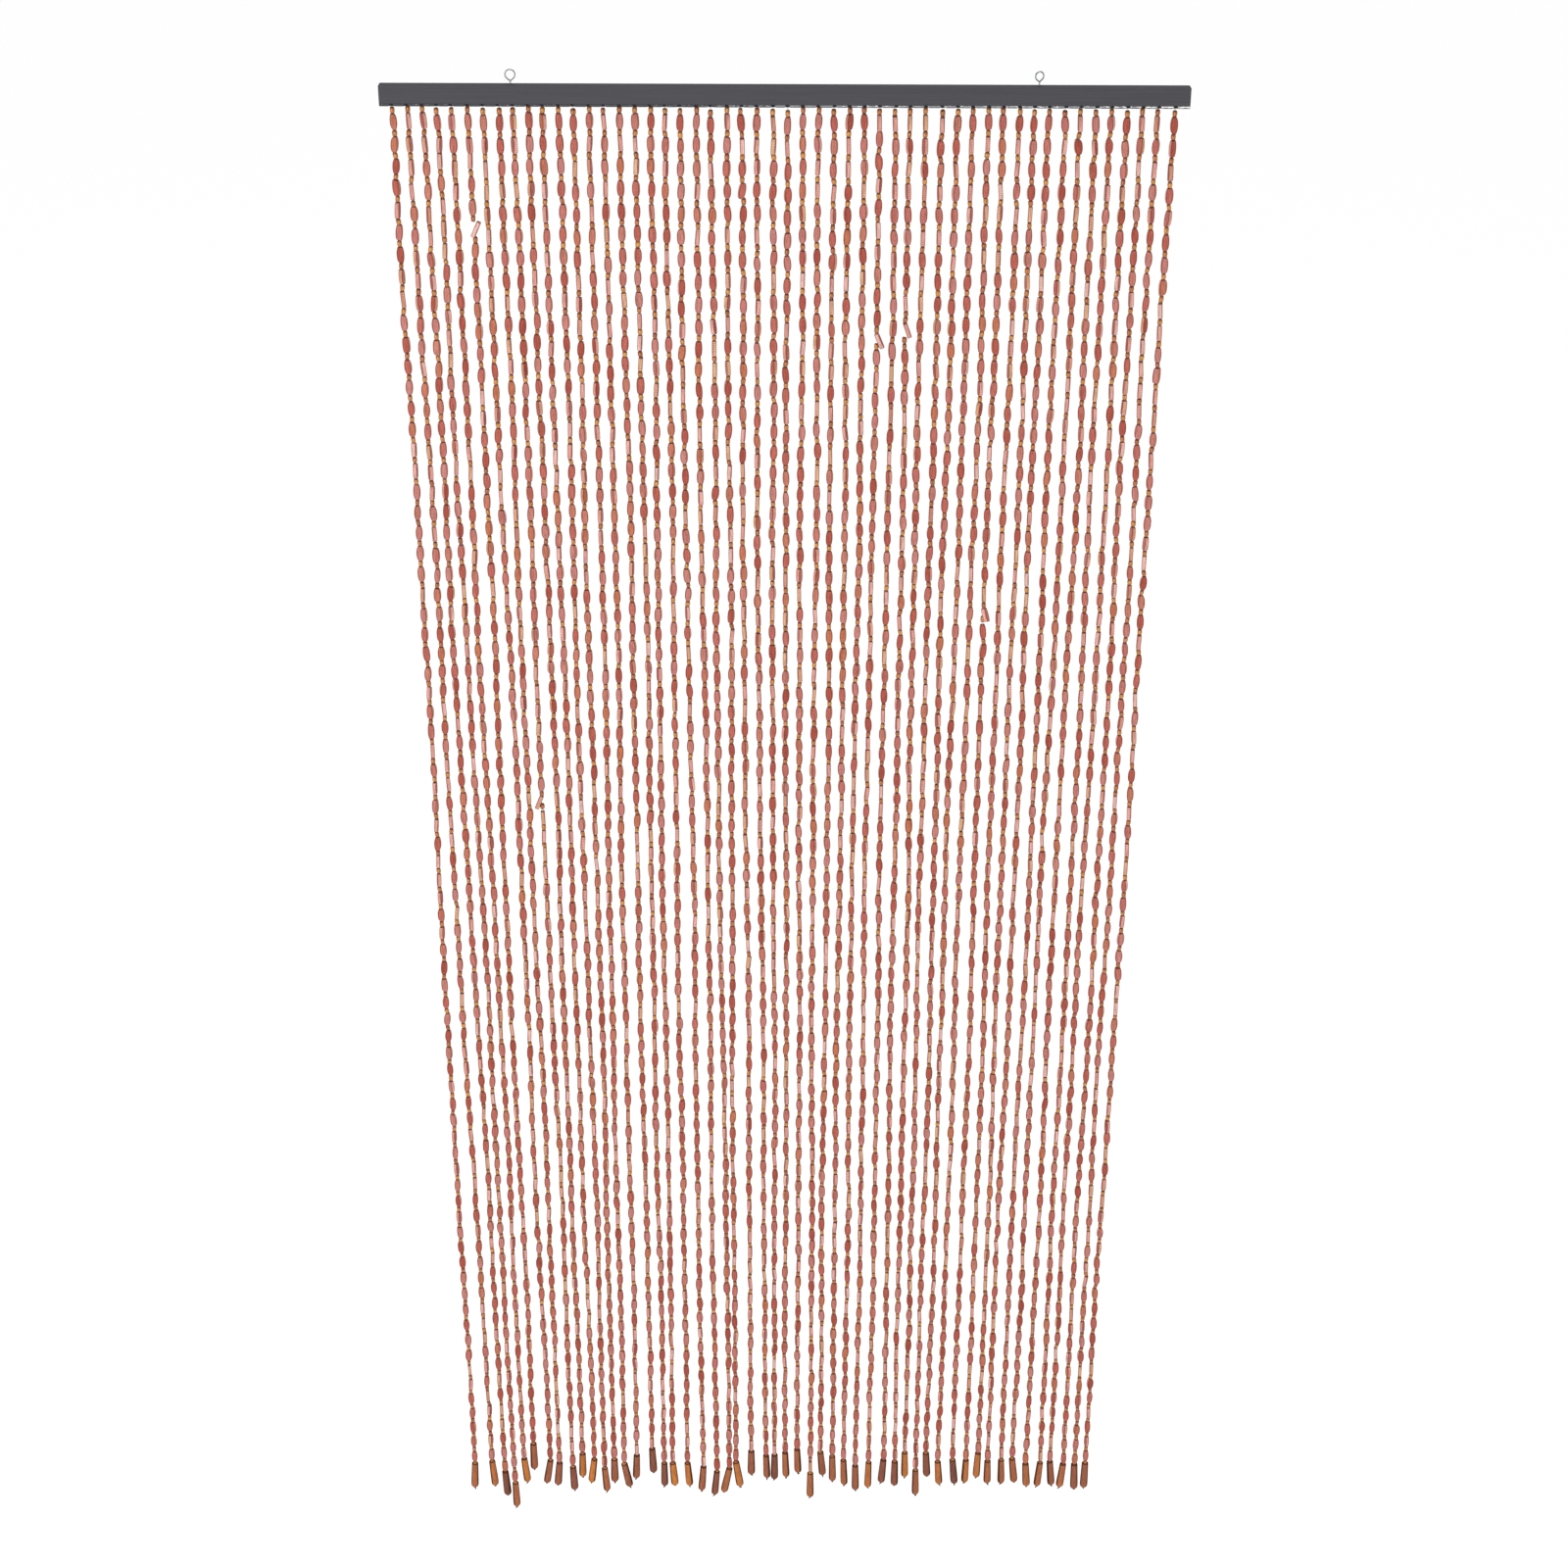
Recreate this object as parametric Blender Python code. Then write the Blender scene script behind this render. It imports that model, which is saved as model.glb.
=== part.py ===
"""Door curtain of threaded wooden beads: a grooved wooden rail hung from two screw eyes, and a
field of strands that share one header strip in the rail's groove and end in turned wooden drops.

The frame: metres, +Z up. The origin is the centre of the rail's top face, between the two
screw eyes that hold the curtain up. The front of the curtain looks along -Y.
"""

import math
import random
from collections import namedtuple

import bmesh
import bpy
from mathutils import Matrix, Vector

MM = 0.001
FIT_GAP = 0.3 * MM

# Rail: a painted batten with softened edges.
RAIL_LENGTH = 0.900
RAIL_DEPTH = 0.015
RAIL_HEIGHT = 0.023
RAIL_EDGE_ROUND = 0.8 * MM
RAIL_TOP = 0.0
RAIL_UNDERSIDE = RAIL_TOP - RAIL_HEIGHT

# Groove in the underside, stopped short of both ends, and the header strip inside it.
GROOVE_WIDTH = 5.0 * MM
GROOVE_DEPTH = 8.0 * MM
GROOVE_STOP = 7.0 * MM
STRIP_HEIGHT = 4.5 * MM

# Screw eyes: bent wire, a ring drawn out to a point above a straight shank.
EYE_WIRE_RADIUS = 0.8 * MM
EYE_RING_RISE = 11.0 * MM
EYE_POINT_PER_RING = 1.28
EYE_MOUTH = 1.7 * MM
EYE_BEND = 1.2 * MM
EYE_HOLE_DEPTH = 10.0 * MM
EYE_ARC_STEPS = 22
EyePlace = namedtuple("EyePlace", "name x ring_radius turn_deg")
EYES = (
    EyePlace("left_screw_eye", -0.304, 5.5 * MM, 0.0),
    EyePlace("right_screw_eye", 0.282, 4.9 * MM, 20.0),
)

# Strands: a four-sided stand-in for a string of beads, as wide as the beads are on average.
STRAND_PITCH = 17.07 * MM
STRAND_WIDTH = 6.4 * MM
STRAND_THICKNESS = 5.4 * MM
STRAND_STEPS = 12
STRAND_SEED = 52
SHOULDER_DROP = 3.0 * MM
DROP_TOP_BELOW_RAIL_TOP = 1.9535

# Roots: the row of ties stands a little left of the rail's middle and bows further left.
ROOT_WIDTH = 4.0 * MM
ROOT_SHIFT = -2.0 * MM
ROOT_BOW = -3.0 * MM
ROOT_SPREAD = 1.0 * MM

# How each strand ends, from the left: how far its end strays from its place in an even row,
# how far it hangs below the usual hem, and how far its drop leans to the right.
StrandEnd = namedtuple("StrandEnd", "stray_mm hang_mm lean_deg")
STRAND_ENDS = [
    StrandEnd(*row)
    for row in (
        (-1, 4, -3), (6, 2, 4), (7, 21, 3), (4, 40, 1),
        (1, -4, 5), (-2, -30, 0), (4, 3, -9), (0, 5, -5),
        (2, 11, 2), (-1, -10, -1), (-1, -4, -7), (-4, 13, 4),
        (-7, -1, 0), (-10, 7, 10), (-9, -7, -2), (-4, -19, 2),
        (-4, 7, 0), (-9, 6, 4), (-5, 6, 4), (1, 9, -4),
        (3, 21, -5), (4, 14, -11), (-4, 1, 8), (1, -19, 0),
        (5, -8, 2), (0, -9, 0), (-2, -13, 2), (-2, -23, 2),
        (0, 21, 0), (-3, -15, 5), (-3, -7, 1), (-4, -1, 2),
        (-4, 11, 1), (-2, 3, -1), (2, -2, -4), (1, -1, 0),
        (-2, -14, 1), (-3, 18, 1), (-6, -15, 3), (-6, -1, 4),
        (-2, -4, 5), (0, -5, -1), (0, -17, -2), (-3, -1, 1),
        (-1, -5, 2), (-2, -3, 6), (0, 2, 4), (4, 2, -4),
        (1, 2, 5), (3, 5, -5), (2, 6, 2), (0, 2, 0),
    )
]

# Wander of a strand between its ends, in the curtain's plane and out of it.
WANDER_WIDE = 1.1 * MM
WANDER_WIDE_TURNS = 1.5
WANDER_FINE = 0.5 * MM
WANDER_FINE_TURNS = 4.0
WANDER_FADE = 6.0
STRAY_POWER = 1.4
HEM_FORWARD = -1.5 * MM
HEM_SWAY = 3.0 * MM

# Drop: sections below its top, with the width of each.
DropSection = namedtuple("DropSection", "below width")
DROP_SECTIONS = (
    DropSection(0.3 * MM, 8.2 * MM),
    DropSection(29.0 * MM, 9.8 * MM),
    DropSection(36.5 * MM, 9.2 * MM),
    DropSection(41.5 * MM, 4.6 * MM),
    DropSection(44.5 * MM, 2.6 * MM),
)
DROP_SEAT_WIDTH = 4.4 * MM


def painted(name, colour, roughness, metallic=0.0):
    material = bpy.data.materials.new(name)
    material.use_nodes = True
    shader = material.node_tree.nodes["Principled BSDF"]
    shader.inputs["Base Color"].default_value = (*colour, 1.0)
    shader.inputs["Roughness"].default_value = roughness
    shader.inputs["Metallic"].default_value = metallic
    material.diffuse_color = (*colour, 1.0)
    return material


def add_object(name, data, material=None):
    made = bpy.data.objects.new(name, data)
    bpy.context.scene.collection.objects.link(made)
    if material is not None:
        data.materials.append(material)
    return made


def box_mesh(name, low, high, edge_round=0.0):
    """A box between two corners, with its edges rounded when edge_round is given."""
    mesh = bpy.data.meshes.new(name)
    shape = bmesh.new()
    bmesh.ops.create_cube(shape, size=1.0)
    size = Vector(high) - Vector(low)
    middle = (Vector(high) + Vector(low)) / 2
    bmesh.ops.transform(
        shape,
        matrix=Matrix.Translation(middle) @ Matrix.Diagonal((*size, 1.0)),
        verts=shape.verts,
    )
    if edge_round:
        bmesh.ops.bevel(
            shape, geom=shape.edges, offset=edge_round, segments=2, profile=0.5, affect="EDGES"
        )
    shape.to_mesh(mesh)
    shape.free()
    return mesh


def cut(target, name, mesh):
    """Takes a cutter's shape out of the target."""
    cutter = add_object(name, mesh)
    cutter.hide_render = True
    cutter.display_type = "WIRE"
    step = target.modifiers.new(name, "BOOLEAN")
    step.operation = "DIFFERENCE"
    step.solver = "EXACT"
    step.object = cutter


def hole_mesh(name, x, depth):
    """A round cutter that stands in the rail's top face over the shank of a screw eye."""
    over = 2.0 * MM
    mesh = bpy.data.meshes.new(name)
    shape = bmesh.new()
    bmesh.ops.create_cone(
        shape,
        cap_ends=True,
        segments=16,
        radius1=EYE_WIRE_RADIUS + FIT_GAP,
        radius2=EYE_WIRE_RADIUS + FIT_GAP,
        depth=depth + over,
        matrix=Matrix.Translation((x, 0.0, RAIL_TOP + (over - depth) / 2)),
    )
    shape.to_mesh(mesh)
    shape.free()
    return mesh


def build_rail(material):
    low = (-RAIL_LENGTH / 2, -RAIL_DEPTH / 2, RAIL_UNDERSIDE)
    high = (RAIL_LENGTH / 2, RAIL_DEPTH / 2, RAIL_TOP)
    rail = add_object("rail", box_mesh("rail", low, high, RAIL_EDGE_ROUND), material)
    half_groove = GROOVE_WIDTH / 2
    groove_end = RAIL_LENGTH / 2 - GROOVE_STOP
    cut(
        rail,
        "groove_cutter",
        box_mesh(
            "groove_cutter",
            (-groove_end, -half_groove, RAIL_UNDERSIDE - GROOVE_DEPTH),
            (groove_end, half_groove, RAIL_UNDERSIDE + GROOVE_DEPTH),
        ),
    )
    for eye in EYES:
        name = eye.name + "_hole"
        cut(rail, name, hole_mesh(name, eye.x, EYE_HOLE_DEPTH))


def eye_path(ring_radius):
    """The wire's middle line in the ring's own plane: (across, up) from the rail's top face."""
    half_mouth = math.asin(1.0 / EYE_POINT_PER_RING)
    point_rise = EYE_RING_RISE - EYE_POINT_PER_RING * ring_radius
    points = [
        (0.0, FIT_GAP - EYE_HOLE_DEPTH),
        (0.0, point_rise - EYE_BEND),
        (0.12 * EYE_BEND, point_rise - 0.4 * EYE_BEND),
        (EYE_BEND * math.sin(half_mouth), point_rise + EYE_BEND * math.cos(half_mouth)),
    ]
    sweep = math.pi + 2 * half_mouth
    for step in range(EYE_ARC_STEPS + 1):
        angle = sweep * step / EYE_ARC_STEPS - half_mouth
        across = ring_radius * math.cos(angle)
        points.append((across, EYE_RING_RISE + ring_radius * math.sin(angle)))
    tip_across = -EYE_MOUTH * math.sin(half_mouth)
    points.append((tip_across, point_rise + EYE_MOUTH * math.cos(half_mouth)))
    return points


def build_screw_eye(eye, material):
    curve = bpy.data.curves.new(eye.name, "CURVE")
    curve.dimensions = "3D"
    curve.bevel_depth = EYE_WIRE_RADIUS
    curve.bevel_resolution = 3
    curve.use_fill_caps = True
    path = eye_path(eye.ring_radius)
    spline = curve.splines.new("POLY")
    spline.points.add(len(path) - 1)
    for point, (across, up) in zip(spline.points, path):
        point.co = (across, 0.0, up, 1.0)
    screw_eye = add_object(eye.name, curve, material)
    screw_eye.location = (eye.x, 0.0, RAIL_TOP)
    screw_eye.rotation_euler = (0.0, 0.0, math.radians(eye.turn_deg))


def strand_habits():
    """What sets each strand apart: its tie, its end, and the phases of its wander."""
    chance = random.Random(STRAND_SEED)
    half_row = (len(STRAND_ENDS) - 1) / 2
    habits = []
    for number, end in enumerate(STRAND_ENDS):
        from_middle = (number - half_row) / half_row
        bow = ROOT_BOW * (1.0 - from_middle**2)
        habits.append(
            {
                "even_x": (number - half_row) * STRAND_PITCH,
                "tied": ROOT_SHIFT + bow + chance.uniform(-ROOT_SPREAD, ROOT_SPREAD),
                "sway": HEM_FORWARD + chance.uniform(-HEM_SWAY, HEM_SWAY),
                "wide_phase": chance.uniform(0.0, 2 * math.pi),
                "fine_phase": chance.uniform(0.0, 2 * math.pi),
                "stray": end.stray_mm * MM,
                "length": DROP_TOP_BELOW_RAIL_TOP - RAIL_HEIGHT + end.hang_mm * MM,
                "lean": math.radians(end.lean_deg),
            }
        )
    return habits


def strand_point(habit, share):
    """The strand's middle line, from the rail's underside at share 0 to its drop's top at 1."""
    fade = min(1.0, WANDER_FADE * share, WANDER_FADE * (1.0 - share))
    wide = math.sin(2 * math.pi * WANDER_WIDE_TURNS * share + habit["wide_phase"])
    fine = math.sin(2 * math.pi * WANDER_FINE_TURNS * share + habit["fine_phase"])
    strayed = share**STRAY_POWER
    x = habit["even_x"] + habit["tied"] * (1.0 - strayed) + habit["stray"] * strayed
    return Vector(
        (
            x + fade * (WANDER_WIDE * wide + WANDER_FINE * fine),
            habit["sway"] * share + fade * WANDER_FINE * (wide - fine),
            RAIL_UNDERSIDE - share * habit["length"],
        )
    )


def strand_sections(habit):
    """(middle, across, width, thickness) of each four-sided section, from the strip down."""
    level = Vector((1.0, 0.0, 0.0))
    root = strand_point(habit, 0.0)
    sections = [(root, level, ROOT_WIDTH, GROOVE_WIDTH - 2 * FIT_GAP)]
    first = SHOULDER_DROP / habit["length"]
    for step in range(STRAND_STEPS + 1):
        share = first + (1.0 - first) * step / STRAND_STEPS
        width = STRAND_WIDTH
        thickness = STRAND_THICKNESS
        if step == STRAND_STEPS:
            width = thickness = DROP_SEAT_WIDTH
        sections.append((strand_point(habit, share), level, width, thickness))
    top = strand_point(habit, 1.0)
    along = Vector((math.sin(habit["lean"]), 0.0, -math.cos(habit["lean"])))
    across = Vector((math.cos(habit["lean"]), 0.0, math.sin(habit["lean"])))
    for part in DROP_SECTIONS:
        sections.append((top + along * part.below, across, part.width, part.width))
    return sections


def square_ring(shape, section):
    """Four vertices round one section, seen from above: front left, front right, back right..."""
    middle, across, width, thickness = section
    back = Vector((0.0, 1.0, 0.0))
    ring = []
    for side, rear in ((-1, -1), (1, -1), (1, 1), (-1, 1)):
        place = middle + across * (side * width / 2) + back * (rear * thickness / 2)
        ring.append(shape.verts.new(place))
    return ring


def add_strand(shape, top_ring, habit):
    """Carries a strand's four sides down from its ring on the header strip."""
    above = top_ring
    for section in strand_sections(habit):
        below = square_ring(shape, section)
        for side in range(4):
            after = (side + 1) % 4
            shape.faces.new((above[side], below[side], below[after], above[after]))
        above = below
    shape.faces.new(above[::-1])


def strip_ring(shape, x, low, high):
    """The strip's cross-section at x: bottom front, bottom back, top back, top front."""
    half = GROOVE_WIDTH / 2 - FIT_GAP
    corners = ((-half, low), (half, low), (half, high), (-half, high))
    return [shape.verts.new((x, y, z)) for y, z in corners]


def build_strands(material):
    """The header strip, with every strand grown from the underside of it, as one closed body."""
    habits = strand_habits()
    shape = bmesh.new()
    high = RAIL_UNDERSIDE + GROOVE_DEPTH - FIT_GAP
    low = high - STRIP_HEIGHT
    strip_end = RAIL_LENGTH / 2 - GROOVE_STOP - FIT_GAP
    stations = [-strip_end]
    for habit in habits:
        root_x = habit["even_x"] + habit["tied"]
        stations += [root_x - ROOT_WIDTH / 2, root_x + ROOT_WIDTH / 2]
    stations.append(strip_end)
    rings = [strip_ring(shape, x, low, high) for x in stations]
    shape.faces.new(rings[0])
    shape.faces.new(rings[-1][::-1])
    for place, (left, right) in enumerate(zip(rings, rings[1:])):
        is_root = place % 2 == 1
        for side in range(4):
            after = (side + 1) % 4
            if side == 0 and is_root:
                continue
            shape.faces.new((left[side], right[side], right[after], left[after]))
        if is_root:
            add_strand(shape, [left[0], right[0], right[1], left[1]], habits[place // 2])
    bmesh.ops.recalc_face_normals(shape, faces=shape.faces)
    mesh = bpy.data.meshes.new("bead_strands")
    shape.to_mesh(mesh)
    shape.free()
    add_object("bead_strands", mesh, material)


def main():
    for old in list(bpy.data.objects):
        bpy.data.objects.remove(old)
    build_rail(painted("charcoal_paint", (0.088, 0.086, 0.095), 0.55))
    plated = painted("plated_wire", (0.62, 0.63, 0.64), 0.28, metallic=1.0)
    for eye in EYES:
        build_screw_eye(eye, plated)
    build_strands(painted("stained_wood_beads", (0.52, 0.19, 0.11), 0.5))


main()
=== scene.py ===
import math
import random

import bmesh
import bpy
import numpy as np
from mathutils import Matrix, Vector, noise


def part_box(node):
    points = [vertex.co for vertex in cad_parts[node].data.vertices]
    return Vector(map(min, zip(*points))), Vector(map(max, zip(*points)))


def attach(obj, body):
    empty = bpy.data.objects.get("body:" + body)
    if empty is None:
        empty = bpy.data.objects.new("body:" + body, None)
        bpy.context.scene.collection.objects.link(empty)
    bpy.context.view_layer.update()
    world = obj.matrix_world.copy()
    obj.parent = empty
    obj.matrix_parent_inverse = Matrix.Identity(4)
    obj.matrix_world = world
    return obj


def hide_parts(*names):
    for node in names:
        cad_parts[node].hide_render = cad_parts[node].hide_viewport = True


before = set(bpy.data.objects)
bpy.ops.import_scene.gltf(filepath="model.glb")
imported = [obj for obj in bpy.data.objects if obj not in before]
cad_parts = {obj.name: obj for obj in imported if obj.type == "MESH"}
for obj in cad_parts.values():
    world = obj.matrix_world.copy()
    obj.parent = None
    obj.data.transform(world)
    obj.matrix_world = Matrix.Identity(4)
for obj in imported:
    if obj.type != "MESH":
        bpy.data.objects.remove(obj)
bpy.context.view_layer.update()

# A door curtain of threaded wooden beads on a painted rail. Metres, z up, the front looks along -y,
# and the origin is the middle of the rail's top.

mm = 0.001
railLow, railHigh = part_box("rail")
railUnder = railLow.z
print("frame loaded, rail", [round(side / mm) for side in railHigh - railLow], "mm")


# small helpers

def linear(hexCode):
    # an sRGB hex value to the linear colour that a shader takes
    parts = [int(hexCode[i:i + 2], 16) / 255 for i in (1, 3, 5)]
    return [p / 12.92 if p <= 0.04045 else ((p + 0.055) / 1.055) ** 2.4 for p in parts] + [1.0]


def newMaterial(name, surface):
    material = bpy.data.materials.new(name)
    material.use_nodes = True
    shader = material.node_tree.nodes["Principled BSDF"]
    for socket, value in surface.items():
        shader.inputs[socket].default_value = value
    return material, shader


def addNode(material, kind, inputs=None, stops=None, **settings):
    # one node with its settings; each input is a plain value or another node's output to link
    tree = material.node_tree
    node = tree.nodes.new("ShaderNode" + kind)
    for setting, value in settings.items():
        setattr(node, setting, value)
    for socket, value in (inputs or {}).items():
        if isinstance(value, bpy.types.NodeSocket):
            tree.links.new(value, node.inputs[socket])
        else:
            node.inputs[socket].default_value = value
    if stops:
        elements = node.color_ramp.elements
        while len(elements) < len(stops):
            elements.new(0.5)
        for element, (place, hexCode) in zip(elements, stops):
            element.position = place
            element.color = linear(hexCode)
    return node


def plug(material, shader, links):
    for socket, source in links.items():
        material.node_tree.links.new(source, shader.inputs[socket])


def addPiece(name, data, material, nodes):
    # every piece hangs on the one body, takes the material given to it and stands for its solids
    piece = bpy.data.objects.new(name, data)
    bpy.context.scene.collection.objects.link(piece)
    data.materials.append(material)
    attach(piece, "root")
    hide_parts(*nodes)
    return piece


def beadPlaces(material):
    # the two vectors that each bead and drop carries, whole and taken apart: where on it a point lies, as
    # shares across, through and along, and three random shares that are its own
    vectors = [addNode(material, "Attribute", attribute_name=name).outputs["Vector"] for name in ("form", "tint")]
    return vectors + [addNode(material, "SeparateXYZ", {0: vector}) for vector in vectors]


def afresh(material, form, tint, scale, shift):
    # a place on the bead for a texture, moved so that the pattern starts afresh on each one
    away = addNode(material, "VectorMath", {0: tint, 1: (shift,) * 3}, operation="MULTIPLY")
    return addNode(material, "VectorMath", {0: form, 1: scale, 2: away.outputs[0]}, operation="MULTIPLY_ADD").outputs[0]


def sizedNoise(material, sizes, detail):
    # noise as long along the rail, through it and up as the sizes, in mm
    spot = addNode(material, "TexCoord")
    scaled = addNode(material, "VectorMath", {0: spot.outputs["Object"], 1: [1.0 / (size * mm) for size in sizes]},
                     operation="MULTIPLY")
    return addNode(material, "TexNoise", {"Vector": scaled.outputs[0], "Scale": 1.0, **detail}).outputs["Fac"]


def gridFaces(count, rings, sides):
    # quads round each of count tubes that are rings long, and an end face at both ends
    ring, side = np.meshgrid(np.arange(rings - 1), np.arange(sides), indexing="ij")
    after = (side + 1) % sides
    quads = np.stack([ring * sides + side, ring * sides + after,
                      (ring + 1) * sides + after, (ring + 1) * sides + side], axis=-1).reshape(-1, 4)
    first = np.arange(sides)[::-1]
    last = (rings - 1) * sides + np.arange(sides)
    faces = []
    for start in range(0, count * rings * sides, rings * sides):
        faces += (quads + start).tolist()
        faces.append((first + start).tolist())
        faces.append((last + start).tolist())
    return faces


def meshFrom(name, points, faces, sharpFrom):
    mesh = bpy.data.meshes.new(name)
    mesh.from_pydata(points.reshape(-1, 3).tolist(), [], faces)
    mesh.shade_smooth()
    mesh.set_sharp_from_angle(angle=math.radians(sharpFrom))
    return mesh


def setAttribute(mesh, name, values):
    # a vector on every point, read in the material by its name
    layer = mesh.attributes.new(name, "FLOAT_VECTOR", "POINT")
    layer.data.foreach_set("vector", np.ascontiguousarray(values, dtype=np.float32).ravel())


# camera: stands 3 m off, above the rail's height, and looks down at the hem

view = {
    "distance": 3.0757,
    "right": 1.8 * mm,
    "up": 0.7015,
    "pitchDown": 27.05,
    "roll": 0.19,
    "lens": 63.38,          # on a 36 mm wide sensor
}
cameraData = bpy.data.cameras.new("viewCamera")
cameraData.lens = view["lens"]
cameraData.sensor_width = 36.0
camera = bpy.data.objects.new("viewCamera", cameraData)
camera.matrix_world = (
    Matrix.Translation((view["right"], -view["distance"], view["up"]))
    @ Matrix.Rotation(math.radians(90.0 - view["pitchDown"]), 4, "X")
    @ Matrix.Rotation(math.radians(view["roll"]), 4, "Z")
)
bpy.context.scene.collection.objects.link(camera)
bpy.context.scene.camera = camera
bpy.context.scene.view_settings.view_transform = "Standard"     # so that the paper is white, as in the photo
print("camera placed")


# strand routes: the same as the solids'

strands = {
    "pitch": 17.07 * mm,
    "rootShift": -2.0 * mm,
    "rootBow": -3.0 * mm,
    "rootSpread": 1.0 * mm,
    "dropTop": 1.9535,
    "wanderWide": 1.1 * mm,
    "wideTurns": 1.5,
    "wanderFine": 0.5 * mm,
    "fineTurns": 4.0,
    "wanderFade": 6.0,
    "strayPower": 1.4,
    "hemForward": -1.5 * mm,
    "hemSway": 3.0 * mm,
    "seed": 52,
}
# from the left: mm that the end strays to the right, mm that it hangs lower, degrees of lean
strandEnds = (
    (-1, 4, -3), (6, 2, 4), (7, 21, 3), (4, 40, 1),
    (1, -4, 5), (-2, -30, 0), (4, 3, -9), (0, 5, -5),
    (2, 11, 2), (-1, -10, -1), (-1, -4, -7), (-4, 13, 4),
    (-7, -1, 0), (-10, 7, 10), (-9, -7, -2), (-4, -19, 2),
    (-4, 7, 0), (-9, 6, 4), (-5, 6, 4), (1, 9, -4),
    (3, 21, -5), (4, 14, -11), (-4, 1, 8), (1, -19, 0),
    (5, -8, 2), (0, -9, 0), (-2, -13, 2), (-2, -23, 2),
    (0, 21, 0), (-3, -15, 5), (-3, -7, 1), (-4, -1, 2),
    (-4, 11, 1), (-2, 3, -1), (2, -2, -4), (1, -1, 0),
    (-2, -14, 1), (-3, 18, 1), (-6, -15, 3), (-6, -1, 4),
    (-2, -4, 5), (0, -5, -1), (0, -17, -2), (-3, -1, 1),
    (-1, -5, 2), (-2, -3, 6), (0, 2, 4), (4, 2, -4),
    (1, 2, 5), (3, 5, -5), (2, 6, 2), (0, 2, 0),
)


def strandHabits():
    chance = random.Random(strands["seed"])
    halfRow = (len(strandEnds) - 1) / 2
    habits = []
    for number, (stray, hang, lean) in enumerate(strandEnds):
        fromMiddle = (number - halfRow) / halfRow
        bow = strands["rootBow"] * (1.0 - fromMiddle ** 2)
        spread, sway = strands["rootSpread"], strands["hemSway"]
        habits.append({
            "evenX": (number - halfRow) * strands["pitch"],
            "tied": strands["rootShift"] + bow + chance.uniform(-spread, spread),
            "sway": strands["hemForward"] + chance.uniform(-sway, sway),
            "widePhase": chance.uniform(0.0, 2 * math.pi),
            "finePhase": chance.uniform(0.0, 2 * math.pi),
            "stray": stray * mm,
            "length": strands["dropTop"] + railUnder + hang * mm,
            "lean": math.radians(lean),
        })
    return habits


def strandPoint(habit, share):
    # the cord's middle line, from the rail's underside at share 0 to the drop's top at 1
    fade = max(0.0, min(1.0, strands["wanderFade"] * share, strands["wanderFade"] * (1.0 - share)))
    wide = math.sin(2 * math.pi * strands["wideTurns"] * share + habit["widePhase"])
    fine = math.sin(2 * math.pi * strands["fineTurns"] * share + habit["finePhase"])
    strayed = max(0.0, share) ** strands["strayPower"]
    x = habit["evenX"] + habit["tied"] * (1.0 - strayed) + habit["stray"] * strayed
    return Vector((
        x + fade * (strands["wanderWide"] * wide + strands["wanderFine"] * fine),
        habit["sway"] * share + fade * strands["wanderFine"] * (wide - fine),
        railUnder - share * habit["length"],
    ))


# threading: what sits where on each cord

threading = {
    "flatLength": (17.5 * mm, 0.5 * mm),      # mean and spread
    "flatWidth": (8.3 * mm, 0.4 * mm),
    "flatThickness": (4.9 * mm, 0.25 * mm),
    "flatEnd": (0.58, 0.07),                    # an end's width as a share of the middle's, and its limits
    "flatEndLimits": (0.42, 0.75),
    "smallLength": (7.2 * mm, 0.4 * mm),
    "smallWidth": (5.9 * mm, 0.25 * mm),
    "pairLength": 26.0 * mm,                    # a flat and a small bead with their play
    "play": (0.25 * mm, 0.25 * mm),             # bare cord between two beads
    "leastPlay": 0.05 * mm,
    "bareTop": (1.2 * mm, 1.4 * mm),            # bare cord under the rail, and the least of it
    "leastTop": 0.3 * mm,
    "nested": (3.6 * mm, 6.4 * mm),             # how far the last small bead sinks in its drop: half, or all
    "slack": {"flat": 0.40 * mm, "small": 0.55 * mm},   # how far a bead's end sits off the cord's line
    "slant": {"flat": 0.8 * mm, "small": 0.35 * mm},    # how far a bead's ends are cut out of square
    "turned": ((0.62, 0, 10), (0.25, 90, 12), (0.13, 45, 40)),   # share, degrees from face on, spread
    "doubled": 0.012,                           # share of places with one small bead too many
    "skipped": 0.010,                           # and with one too few
    "cordInRail": 4.5 * mm,
    "cordInDrop": 5.0 * mm,
    "seed": 1000,
}
# flat beads that caught on the cord and stick out, by strand and pair: lean and turn in degrees, where on its
# length the cord holds it (0 its top, 1 its foot), the tone of its sawn edge, and for the small bead below it:
# mm that it is tucked up beside the caught one, mm that it stands aside and mm of bare cord under it
caughtBeads = {
    (6, 6): (-24, 85, 0.9, 0.0, 0.0, 0.6, 0.0),
    (24, 4): (-11, 15, 0.5, 0.3, 0.5, 1.4, 1.0),
    (35, 10): (20, 90, 0.0, 0.5, 0.5, -1.9, 0.0),
    (33, 11): (23, 84, 0.0, 0.1, 6.0, -0.5, 0.0),
    (41, 24): (15, 62, 0.0, 0.2, 7.0, -1.1, 3.0),
    (9, 34): (-22, 88, 0.0, 0.7, 6.7, 0.6, 3.0),
}
twoSmallBeads = {(35, 10), (35, 11)}            # pairs known to have two small beads
hangsFree = (0, None, 0.0, None, 0.0, 0.0, 0.0)


def pickTurn(chance):
    # flat beads hang face on or edge on more often than in between
    share = chance.random()
    for part, middle, spread in threading["turned"]:
        if share < part:
            break
        share -= part
    return math.radians(chance.choice((-1, 1)) * chance.gauss(middle, spread))


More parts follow.
